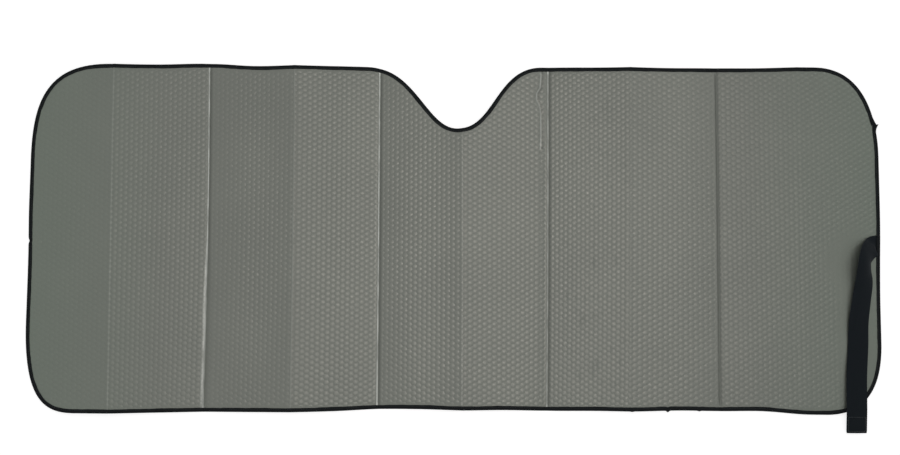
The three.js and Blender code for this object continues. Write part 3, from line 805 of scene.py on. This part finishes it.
def stitch_row(name, pitch, count):
    """A straight row of lockstitches, above and below the middle of the cloth."""
    first_x, first_z = STITCH_LINE[0]
    deselect()
    bpy.ops.mesh.primitive_circle_add(
        vertices=THREAD_SIDES, radius=THREAD_RADIUS * MM, fill_type="NGON",
        location=(first_x * MM, 0, first_z * MM), rotation=(0, math.pi / 2, 0),
    )
    row = bpy.context.object
    row.name = name
    bpy.ops.object.transform_apply(location=True, rotation=True, scale=True)
    edit_all()
    for (x0, z0), (x1, z1) in zip(STITCH_LINE, STITCH_LINE[1:]):
        bpy.ops.mesh.extrude_region_move(
            TRANSFORM_OT_translate={"value": ((x1 - x0) * MM, 0, (z1 - z0) * MM)})
    bpy.ops.mesh.select_all(action="SELECT")
    bpy.ops.mesh.normals_make_consistent(inside=False)
    bpy.ops.mesh.duplicate()
    bpy.ops.transform.rotate(value=math.pi, orient_axis="X", center_override=(0, 0, 0))
    bpy.ops.mesh.select_all(action="SELECT")
    bpy.ops.transform.translate(value=(pitch / 2 * MM, 0, 0))
    bpy.ops.object.mode_set(mode="OBJECT")
    repeat(row, "in a row", count, (pitch * MM, 0, 0))
    return row


thread = stitch_row("seam_thread", stitch_step, stitches)
move_points(thread, follow_seam(thread)[0], to_frame=True)
select_only(thread)
bpy.ops.object.shade_smooth()

# Polyester sewing thread: two plies twisted together, with the soft gleam of its filaments.
polyester, tree = new_material("black polyester thread")
place = add_node(tree, "ShaderNodeTexCoord").node.outputs["Object"]
plies = add_node(tree, "ShaderNodeTexNoise", {"Vector": place, "Scale": 1400.0, "Detail": 2.0})
strand = add_node(tree, "ShaderNodeMixRGB", {"Fac": plies, "Color1": colour("#24282a"),
                                             "Color2": colour("#3c4245")})
bump = add_node(tree, "ShaderNodeBump", {"Strength": 0.6, "Distance": 0.08 * MM, "Height": plies})
shader = add_node(tree, "ShaderNodeBsdfPrincipled", {
    "Base Color": strand, "Roughness": 0.55, "Sheen Weight": 0.2, "Normal": bump})
coat(thread, polyester, shader)
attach(thread, "root")

# The strap: black woven elastic, 35 mm wide, sewn in under the tape at the right end. It leaves
# the tape to the left, turns down on its outer edge and runs past the bottom edge, where it is
# cut square. It goes round the folded shade and fastens to itself.
STRAP_WIDTH = 35
STRAP_THICKNESS = 1.6
FIT = 0.3
STRAP_HELD = 5
STRAP_ROOT_Y = -14
RIM_WIDTH = 10
# The route, in strap widths: in from the right edge, down from the root, or up from the bottom
# edge, and the clear height under the lower edge. Then, in degrees, the tilt, where the outer
# edge stands up in the turn, and the curl across the width.
STRAP_TURN = [
    (0.42, 0.03, 0.03, -1, 20), (0.71, 0.29, 0.05, -24, 40), (0.91, 0.74, 0.07, -36, 70),
    (0.96, 1.31, 0.06, -29.5, 70), (0.97, 1.83, 0.05, -17.5, 45), (1.09, 2.66, 0.03, -13, 25),
]
STRAP_RUN = [
    (1.24, 4.47, 0.02, -6.7, 16), (1.29, 3.33, 0.04, 0, 16), (1.41, 1.76, 0.11, 0, 16),
    (1.45, 0.27, 0.16, 0, 16),
]
STRAP_CURL = 16
STRAP_TAIL = 33
STRAP_TAIL_DROP = 5.5
STRAP_STEP = 1.9
RIB_PITCH = 1.75
RIB_HEIGHT = 0.13
# The weft turns back at the edges and scallops them, and the cut end is melted a little narrower.
SCALLOP = 0.08
MELT = 0.6
MELT_LENGTH = 3


def lie_at(x):
    """Height of the sheet's underside at a place across it."""
    return lie(np.array([[min(x, half_width), 0.0]]))[0]


right_edge = edge[edge[:, 0] > half_width - 40]
right_edge = right_edge[np.argsort(right_edge[:, 1])]
root_edge = np.interp(STRAP_ROOT_Y, right_edge[:, 1], right_edge[:, 0])
root_z = SHEET_THICKNESS / 2 + RIM_THICKNESS / 2 + FIT + STRAP_THICKNESS / 2
step_x = root_edge - RIM_WIDTH
step_z = lie_at(step_x) + SHEET_THICKNESS + 2 * FIT + STRAP_THICKNESS / 2
route = [
    (root_edge - TAPE_COVER + STRAP_HELD, STRAP_ROOT_Y, root_z, 0, 0),
    (step_x + 4.2, STRAP_ROOT_Y, root_z + FIT / 3, 0, 0),
    (step_x - FIT, STRAP_ROOT_Y, step_z, 0, 0),
]
turn = [(inward, STRAP_ROOT_Y - down * STRAP_WIDTH, *rest) for inward, down, *rest in STRAP_TURN]
run = [(inward, up * STRAP_WIDTH - top_y, *rest) for inward, up, *rest in STRAP_RUN]
for inward, y, clear, tilt, curl in turn + run:
    x = half_width - inward * STRAP_WIDTH
    standing = STRAP_WIDTH / 2 * abs(math.sin(math.radians(tilt)))
    sagitta = STRAP_WIDTH * math.radians(curl) / 8
    under = lie_at(x - STRAP_WIDTH / 2) + SHEET_THICKNESS + FIT + clear * STRAP_WIDTH
    route.append((x, y, under + (STRAP_THICKNESS + sagitta) / 2 + standing, tilt, curl))
last_x, _, last_z, _, _ = route[-1]
route.append((last_x, -top_y - STRAP_TAIL / 2, last_z - STRAP_TAIL_DROP * 0.6, 0, STRAP_CURL))
route.append((last_x, -top_y - STRAP_TAIL, last_z - STRAP_TAIL_DROP, 0, STRAP_CURL))
strap_line = smooth_line(route, 40, placing=3)
strap_at = np.concatenate([[0], np.cumsum(np.linalg.norm(np.diff(strap_line[:, :3], axis=0), axis=1))])
strap_total = strap_at[-1]


def on_strap(along, across, up):
    """Places on the strap: a length along it, a distance left of its middle line, and a height
    over the middle of its thickness."""
    at = np.clip(along, 0, strap_total)
    middle, ahead, behind = (
        np.column_stack([np.interp(at + step, strap_at, strap_line[:, k]) for k in range(5)])
        for step in (0, 1.5, -1.5)
    )
    way = (ahead - behind)[:, :3]
    way /= np.linalg.norm(way, axis=1)[:, None]
    lean = np.radians(middle[:, 3:4])
    level = np.column_stack([-way[:, 1], way[:, 0]])
    level /= np.linalg.norm(level, axis=1)[:, None]
    side = np.hstack([level * np.cos(lean), np.sin(lean)])
    above = np.cross(way, side)
    above /= np.linalg.norm(above, axis=1)[:, None]
    side = np.cross(above, way)
    bend = np.radians(np.maximum(middle[:, 4], 0.1))
    radius = STRAP_WIDTH / bend
    angle = across / radius
    lift = (radius + up) * np.cos(angle) - radius + radius * (1 - np.cos(bend / 2)) / 2
    return middle[:, :3] + side * ((radius + up) * np.sin(angle))[:, None] + above * lift[:, None]


deselect()
ribs = round(STRAP_WIDTH / RIB_PITCH)
bpy.ops.mesh.primitive_grid_add(
    x_subdivisions=round(strap_total / STRAP_STEP), y_subdivisions=2 * ribs, size=2)
strap = bpy.context.object
strap.name = "elastic_strap"
grid = points_of(strap) * MM
along = (grid[:, 0] + 1) / 2 * strap_total
across = grid[:, 1] * STRAP_WIDTH / 2
row = np.rint((grid[:, 1] + 1) * ribs).astype(int)
rib = np.where(row % 2 == 1, RIB_HEIGHT, -RIB_HEIGHT)
scallop = SCALLOP * np.cos(along * math.pi / STRAP_STEP)
shrink = MELT * smooth_step(strap_total - MELT_LENGTH, strap_total, along)
at_edge = (row == 0) | (row == 2 * ribs)
rib[at_edge] = 0
across *= 1 + (scallop - shrink) * at_edge / (STRAP_WIDTH / 2)
top_face = on_strap(along, across, STRAP_THICKNESS / 2 + rib)
move_points(strap, top_face)
apply_modifier(strap, "thickness", "SOLIDIFY", thickness=STRAP_THICKNESS * MM, offset=-1)
doubled = points_of(strap)
doubled[: len(grid)] = top_face
doubled[len(grid) : 2 * len(grid)] = on_strap(along, across, -STRAP_THICKNESS / 2 - rib)
move_points(strap, doubled, to_frame=True)
uv = strap.data.uv_layers.active or strap.data.uv_layers.new(name="weave")
uv.name = "weave"
weave = np.column_stack([np.tile(along, 2), np.tile(across, 2)])[corners_of(strap)[0]] * MM
uv.data.foreach_set("uv", weave.ravel())
select_only(strap)
bpy.ops.object.shade_smooth_by_angle(angle=math.radians(50))

# Woven elastic: rubber cores wrapped in texturised polyester run lengthwise as ribs, and a fine
# weft crosses them. It is matt, a little fuzzy, and shows blue-black in the light.
elastic, tree = new_material("black woven elastic")
WEFT_PITCH = 1.1
weave = add_node(tree, "ShaderNodeUVMap", uv_map="weave")
threads = add_node(tree, "ShaderNodeVectorMath",
                   {0: weave, 1: (1 / (WEFT_PITCH * MM), 1 / (RIB_PITCH * MM), 0)},
                   operation="MULTIPLY")
weft = add_node(tree, "ShaderNodeTexWave", {"Vector": threads, "Scale": 0.5, "Distortion": 0.6,
                                            "Detail": 1.0}, bands_direction="X")
fuzz = add_node(tree, "ShaderNodeTexNoise", {"Vector": weave, "Scale": 1500.0, "Detail": 4.0})
yarn = add_node(tree, "ShaderNodeMixRGB", {"Fac": weft, "Color1": colour("#0c1217"),
                                           "Color2": colour("#161c20")})
lint = add_node(tree, "ShaderNodeMapRange", {"Value": fuzz, "From Min": 0.45, "From Max": 0.75,
                                             "To Max": 0.5})
yarn = add_node(tree, "ShaderNodeMixRGB", {"Fac": lint, "Color1": yarn, "Color2": colour("#1d252a")})
height = add_node(tree, "ShaderNodeMath", {0: fuzz, 1: 0.5, 2: weft}, operation="MULTIPLY_ADD")
bump = add_node(tree, "ShaderNodeBump", {"Strength": 0.7, "Distance": 0.15 * MM, "Height": height})
shader = add_node(tree, "ShaderNodeBsdfPrincipled", {
    "Base Color": yarn, "Roughness": 0.9, "Specular IOR Level": 0.15, "Sheen Weight": 0.06,
    "Normal": bump})
coat(strap, elastic, shader)
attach(strap, "root")
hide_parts("storage_strap")

# The hook patch: nylon hook tape sewn under the free end of the strap, where it catches the
# brushed face when the strap is round the folded shade.
PATCH_LENGTH = 27
PATCH_INSET = 2
PATCH_THICKNESS = 1.4
BACKING = 0.6
HOOK_SPACING = 1.9
HOOK_RADIUS = 0.18
HOOK_BENDS = [(0, 0, -0.45), (0.18, 0, -0.28), (0.34, 0, 0.0), (0.12, 0, 0.22)]
HOOKLESS = 1.5

patch_width = STRAP_WIDTH - 2 * PATCH_INSET
patch_end = strap_total - PATCH_INSET
patch_top = -STRAP_THICKNESS / 2 - FIT
deselect()
bpy.ops.mesh.primitive_cube_add(size=2)
patch = bpy.context.object
patch.name = "hook_tape"
edit_all()
bpy.ops.mesh.subdivide(number_cuts=6)
bpy.ops.object.mode_set(mode="OBJECT")
block = points_of(patch) * MM
move_points(patch, on_strap(
    patch_end - PATCH_LENGTH / 2 * (1 - block[:, 0]), block[:, 1] * patch_width / 2,
    patch_top - BACKING * (1 - block[:, 2]) / 2,
), to_frame=True)

# One hook is a bent filament of four sides, and it is repeated in rows over the patch.
deselect()
bpy.ops.mesh.primitive_circle_add(vertices=4, radius=HOOK_RADIUS * MM, fill_type="NGON")
hooks = bpy.context.object
hooks.name = "hooks"
edit_all()
bpy.ops.mesh.flip_normals()
for bend in HOOK_BENDS:
    bpy.ops.mesh.extrude_region_move(TRANSFORM_OT_translate={"value": [b * MM for b in bend]})
bpy.ops.mesh.select_all(action="SELECT")
bpy.ops.mesh.normals_make_consistent(inside=False)
bpy.ops.object.mode_set(mode="OBJECT")
hook_columns = int((PATCH_LENGTH - 2 * HOOKLESS) / HOOK_SPACING)
hook_rows = int((patch_width - 2 * HOOKLESS) / HOOK_SPACING)
repeat(hooks, "rows", hook_rows, (0, HOOK_SPACING * MM, 0))
repeat(hooks, "columns", hook_columns, (HOOK_SPACING * MM, 0, 0))
field = points_of(hooks)
move_points(hooks, on_strap(
    patch_end - PATCH_LENGTH + 2 + field[:, 0],
    field[:, 1] - (hook_rows - 1) * HOOK_SPACING / 2, patch_top - BACKING + 0.05 + field[:, 2],
), to_frame=True)
select_only(patch, hooks)
bpy.ops.object.join()
bpy.ops.object.shade_smooth_by_angle(angle=math.radians(40))

# Hook tape: nylon, woven backing and stiff black monofilament hooks with a slight gleam.
nylon, tree = new_material("black nylon hook tape")
place = add_node(tree, "ShaderNodeTexCoord").node.outputs["Object"]
backing = add_node(tree, "ShaderNodeTexNoise", {"Vector": place, "Scale": 1300.0, "Detail": 3.0})
filament = add_node(tree, "ShaderNodeMixRGB", {"Fac": backing, "Color1": colour("#141618"),
                                               "Color2": colour("#26292c")})
bump = add_node(tree, "ShaderNodeBump", {"Strength": 0.5, "Distance": 0.1 * MM, "Height": backing})
shader = add_node(tree, "ShaderNodeBsdfPrincipled", {
    "Base Color": filament, "Roughness": 0.45, "Normal": bump})
coat(patch, nylon, shader)
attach(patch, "root")
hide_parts("hook_patch")

# The thread of the hook patch: the same black polyester, sewn through strap and patch along
# all four sides of the patch, so that a box of stitches shows on both faces.
BOX_INSET = 1.2

box_ends = (patch_end - BOX_INSET, patch_end - PATCH_LENGTH + BOX_INSET)
box_side = patch_width / 2 - BOX_INSET
sides = []
for number, length in enumerate((abs(box_ends[1] - box_ends[0]), 2 * box_side) * 2):
    count = round(length / STITCH_PITCH)
    side = stitch_row(f"box_thread_{number}", length / count, count)
    straight = points_of(side)
    run, off = straight[:, 0], straight[:, 1]
    above = straight[:, 2] > 0
    up = np.where(above, straight[:, 2] - STITCH_LINE[0][1] + STRAP_THICKNESS / 2,
                  straight[:, 2] + STITCH_LINE[0][1] + patch_top - BACKING)
    if number % 2:
        places = on_strap(box_ends[number // 2] + off, run - box_side, up)
    else:
        places = on_strap(box_ends[1] + run, (1 - number) * box_side + off, up)
    move_points(side, places, to_frame=True)
    sides.append(side)
select_only(*sides)
bpy.ops.object.join()
bpy.ops.object.shade_smooth()
box_thread = sides[0]
box_thread.name = "patch_thread"
box_thread.data.materials.append(polyester)
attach(box_thread, "root")

# What isn't part of the object goes.
bpy.data.objects.remove(seam_line)
